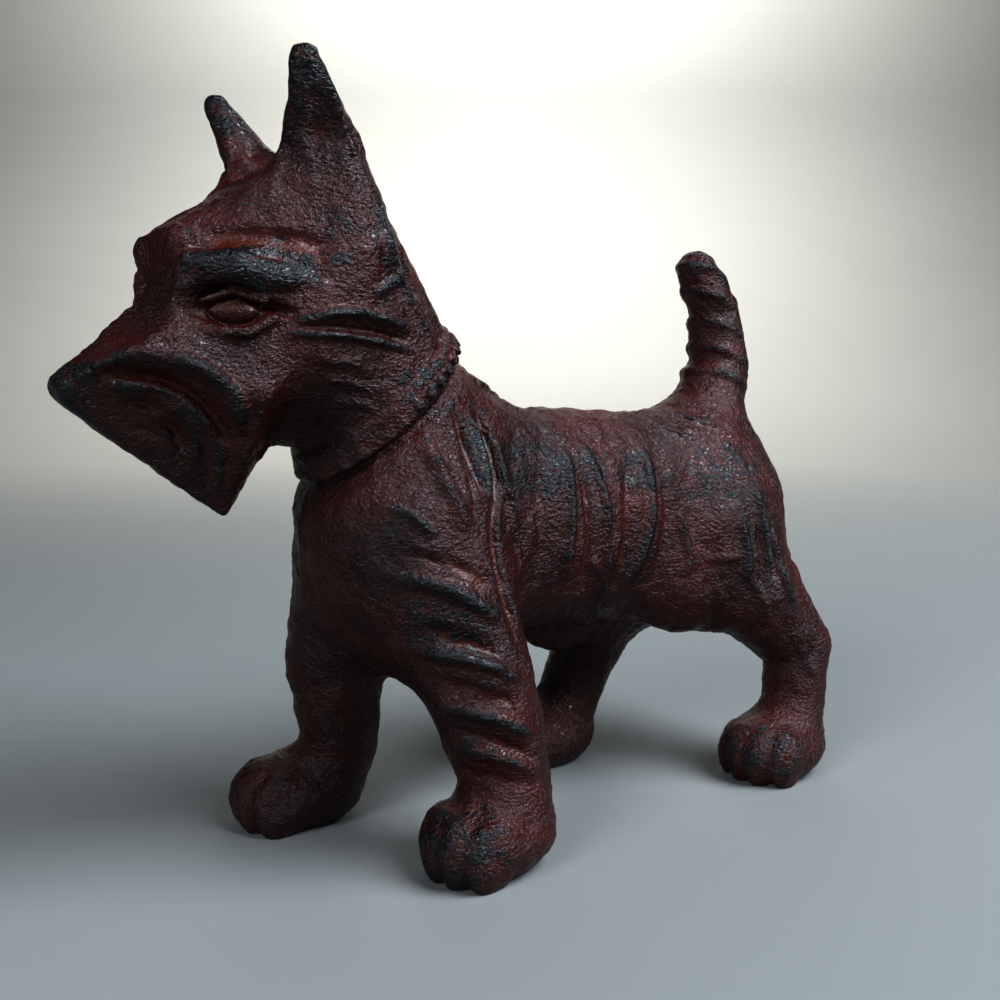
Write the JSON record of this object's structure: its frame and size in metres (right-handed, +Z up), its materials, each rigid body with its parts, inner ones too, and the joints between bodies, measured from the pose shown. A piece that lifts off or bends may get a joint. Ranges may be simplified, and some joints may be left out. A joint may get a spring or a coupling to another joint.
{
  "type": "cast iron dog statue",
  "caption": "Small solid cast iron terrier walking on four paws, with pricked ears, a square beard, an upright tail and a studded collar cast in.",
  "frame": {"origin": "bottom centre of the figure's bounding box, at the level of the soles", "axes": "+Z up, -Y towards the nose, +X to the dog's left"},
  "size_m": [0.0544, 0.1424, 0.121],
  "materials": {
    "painted_iron": "semi-gloss oxblood paint over sand-cast grain, black on the raised fur and edges"
  },
  "bodies": {
    "root": {"terrier_dog": "painted_iron"}
  },
  "joints": []
}
